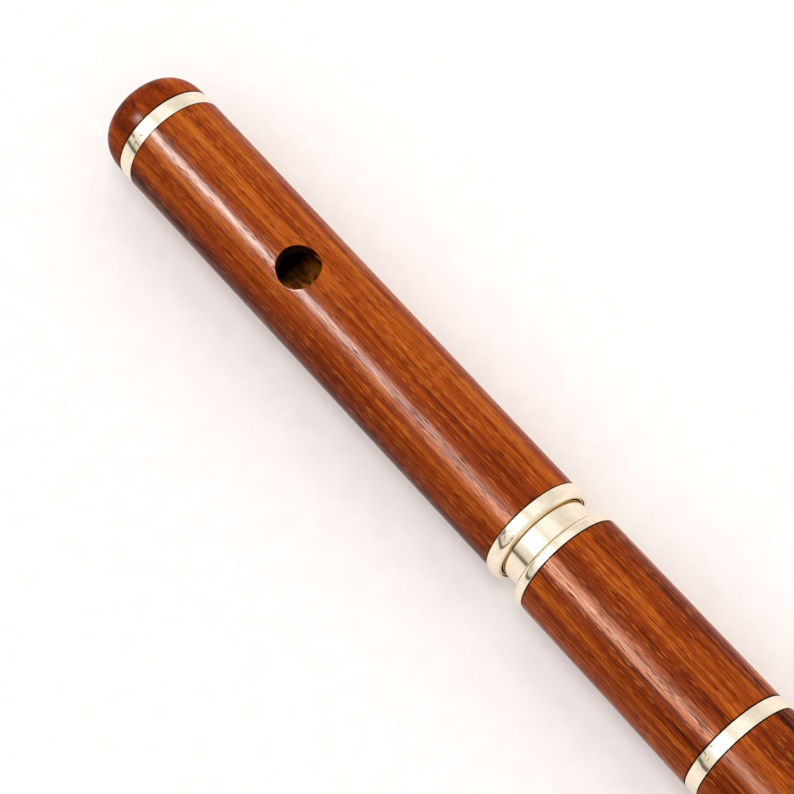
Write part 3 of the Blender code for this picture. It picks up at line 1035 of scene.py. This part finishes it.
def floor():
    """A plain pale floor with a faint glow of painted light, which keeps it nearly white and lifts
    and warms the shade beside the flute.
    """
    bm = bmesh.new()
    bmesh.ops.create_grid(bm, x_segments=1, y_segments=1, size=FLOOR_SIZE)
    mesh = bpy.data.meshes.new("floor")
    bm.to_mesh(mesh)
    bm.free()
    made, g, shader = new_material("floor_white")
    place = g.add("ShaderNodeTexCoord").outputs["Object"]
    mottle = g.noise(place, 160.0, 4.0, 0.6)
    colour = g.ramp(mottle, [(0.3, (0.572, 0.562, 0.550)), (0.7, (0.598, 0.588, 0.576))])
    g.tree.links.new(colour, shader.inputs["Base Color"])
    shader.inputs["Roughness"].default_value = 0.9
    shader.inputs["Specular IOR Level"].default_value = 0.1
    # Painted light: the glow lifts and warms the shade beside the flute.
    shader.inputs["Emission Color"].default_value = FLOOR_GLOW
    shader.inputs["Emission Strength"].default_value = FLOOR_GLOW_STRENGTH
    mesh.materials.append(made)
    plane = bpy.data.objects.new("floor", mesh)
    bpy.context.scene.collection.objects.link(plane)


def soft_box(name, turn, middle, distance, size, power, colour=(1, 1, 1)):
    """A soft box facing the tube's axis.

    turn is in degrees round it, from straight up toward +Y, and middle is its centre along X.
    """
    data = bpy.data.lights.new(name, "AREA")
    data.shape = "RECTANGLE"
    data.size, data.size_y = size
    data.energy = power
    data.color = colour
    lamp = bpy.data.objects.new(name, data)
    bpy.context.scene.collection.objects.link(lamp)
    out = Vector((0, math.sin(math.radians(turn)), math.cos(math.radians(turn))))
    along = Vector((1, 0, 0))
    place = Matrix((along, out.cross(along), out)).transposed().to_4x4()
    place.translation = Vector((middle, 0, AXIS_Z)) + out * distance
    lamp.matrix_world = place
    lamp.visible_camera = False
    return lamp


# The room's colours round the flute, from straight out at -Y over the top to straight out at +Y.
SKY_WHITE = (1.28, 1.38, 1.58)
SKY_CREAM = (0.92, 0.90, 0.87)
SKY_DIM = (0.78, 0.75, 0.70)
SKY_DARK = (0.20, 0.17, 0.13)
SKY_BANDS = (
    (0.00, SKY_CREAM),
    (0.026, SKY_CREAM),
    (0.054, SKY_DARK),
    (0.072, SKY_DARK),
    (0.110, SKY_DIM),
    (0.19, SKY_CREAM),
    (0.27, SKY_WHITE),
    (0.43, SKY_WHITE),
    (0.50, (1.00, 0.98, 0.95)),
    (0.57, (1.12, 1.15, 1.22)),
    (0.66, (1.12, 1.15, 1.20)),
    (0.76, SKY_CREAM),
    (0.86, (0.88, 0.86, 0.82)),
    (1.00, (0.99, 0.97, 0.94)),
)
OUTLINE = (0.20, 0.14, 0.08, 1)


def surroundings():
    """A pale studio: bright above, with a few soft dark bands that polished silver picks up."""
    world = bpy.data.worlds.new("studio")
    bpy.context.scene.world = world
    world.use_nodes = True
    g = Graph(world.node_tree)
    background = world.node_tree.nodes["Background"]
    direction = g.add("ShaderNodeTexCoord").outputs["Generated"]
    split = g.add("ShaderNodeSeparateXYZ", {"Vector": direction})
    turn = g.math("ARCTAN2", split.outputs["Y"], split.outputs["Z"])
    degrees = g.math("MULTIPLY", turn, 180 / math.pi)
    share = g.math("MULTIPLY_ADD", degrees, 1 / 180, 0.5)
    bands = g.ramp(share, SKY_BANDS)
    # Thin outlines, long round the rings, like a cluttered room seen in them.
    spread = g.add(
        "ShaderNodeCombineXYZ",
        {"X": g.math("MULTIPLY", split.outputs["X"], 2.4), "Y": g.math("MULTIPLY", share, 5.0)},
    ).outputs["Vector"]
    wave = g.math("MULTIPLY", g.noise(spread, 1.0, 1.0, 0.5, 0.4), 4.0)
    contour = g.math("ABSOLUTE", g.math("SUBTRACT", g.math("FRACT", wave), 0.5))
    line = g.ramp(contour, [(0.03, WHITE), (0.09, BLACK)])
    place = g.ramp(share, [(0.06, BLACK), (0.09, WHITE), (0.24, WHITE), (0.32, BLACK)])
    outline = g.math("MULTIPLY", g.math("MULTIPLY", line, place), 0.85)
    bands = g.mix(outline, bands, OUTLINE)
    # Plain towards both ends of the flute, where a low view looks straight at the bands.
    height = g.math("MULTIPLY", split.outputs["Z"], split.outputs["Z"])
    off_axis = g.math("MULTIPLY_ADD", split.outputs["Y"], split.outputs["Y"], height)
    sideways = g.ramp(off_axis, [(0.20, BLACK), (0.45, WHITE)])
    bands = g.mix(sideways, (*SKY_CREAM, 1), bands)
    g.tree.links.new(bands, background.inputs["Color"])
    background.inputs["Strength"].default_value = 1.0


# The camera, fitted to the tube's edges and rings: metres from the crown ring's end and from the
# tube's axis, and angles round the tube and at the camera.
CAMERA_FROM_CROWN_RING = 0.3815
CAMERA_FROM_AXIS = 0.7452
CAMERA_ROUND_TUBE = math.radians(6.9)
CAMERA_PAN = math.radians(-21.3)
CAMERA_TILT = math.radians(-0.19)
CAMERA_ROLL = math.radians(46.88)
CAMERA_LENS_MM = 149.6
SENSOR_MM = 36.0
CLIP_NEAR = 0.01
CLIP_FAR = 100.0


def photo_camera():
    """The camera above the tube, between the middle and the foot, looking back at the head."""
    forward = Vector(
        (
            math.sin(CAMERA_PAN),
            math.sin(CAMERA_TILT) * math.cos(CAMERA_PAN),
            -math.cos(CAMERA_TILT) * math.cos(CAMERA_PAN),
        )
    ).normalized()
    right = forward.cross(Vector((0, 1, 0))).normalized()
    up = right.cross(forward)
    rolled_right = math.cos(CAMERA_ROLL) * right + math.sin(CAMERA_ROLL) * up
    rolled_up = -math.sin(CAMERA_ROLL) * right + math.cos(CAMERA_ROLL) * up
    place = Vector((end_of("crown_ring") + CAMERA_FROM_CROWN_RING, 0, CAMERA_FROM_AXIS))
    basis = Matrix((rolled_right, rolled_up, -forward)).transposed().to_4x4()
    data = bpy.data.cameras.new("photo_camera")
    data.lens = CAMERA_LENS_MM
    data.sensor_width = SENSOR_MM
    data.clip_start = CLIP_NEAR
    data.clip_end = CLIP_FAR
    camera = bpy.data.objects.new("photo_camera", data)
    bpy.context.scene.collection.objects.link(camera)
    round_tube = Matrix.Rotation(CAMERA_ROUND_TUBE, 4, "X")
    camera.matrix_world = (
        Matrix.Translation((0, 0, AXIS_Z)) @ round_tube @ Matrix.Translation(place) @ basis
    )
    bpy.context.scene.camera = camera


def pieces_in(look):
    """The pieces whose material's name starts that way, for a lamp that lights only them."""
    found = bpy.data.collections.new(look + "_pieces")
    for piece in bpy.context.scene.objects:
        if piece.type != "MESH":
            continue
        if any(m and m.name.startswith(look) for m in piece.data.materials):
            found.objects.link(piece)
    return found


# Long soft boxes seen only in the wood's polish, all at one distance from the axis: turn, low x,
# high x, width, radiance and colour.
POLISH_DISTANCE = 1.2
POLISH_BOXES = {
    "crown_strip": (-23.8, -1.15, -0.675, 0.20, 450.0, (1.0, 0.94, 0.84)),
    "slide_strip": (-22.5, -0.675, -0.52, 0.26, 20.0, (1.0, 0.84, 0.66)),
    "barrel_strip": (-34.0, -0.52, -0.45, 0.12, 850.0, (1.0, 0.82, 0.62)),
    "barrel_glow": (-29.0, -0.56, -0.36, 0.60, 100.0, (1.0, 0.52, 0.30)),
    "body_strip": (-29.0, -0.45, 0.30, 0.26, 90.0, (1.0, 0.80, 0.60)),
}


def lights():
    """Two lamps that light everything without showing in it, and the wood's own soft boxes."""
    key = soft_box("key", 40, -0.9, 1.8, (1.4, 1.2), 7.8, (1.0, 0.985, 0.96))
    top = soft_box("top", 1, 0.10, 1.5, (0.35, 0.35), 6.0)
    for lamp in (key, top):
        lamp.visible_glossy = False
    wooden = pieces_in("rosewood")
    for name, (turn, low, high, width, radiance, colour) in POLISH_BOXES.items():
        power = radiance * math.pi * (high - low) * width
        size = (high - low, width)
        box = soft_box(name, turn, (low + high) / 2, POLISH_DISTANCE, size, power, colour)
        box.visible_diffuse = False
        box.light_linking.receiver_collection = wooden


floor()
surroundings()
lights()
photo_camera()
bpy.context.scene.view_settings.view_transform = "Standard"
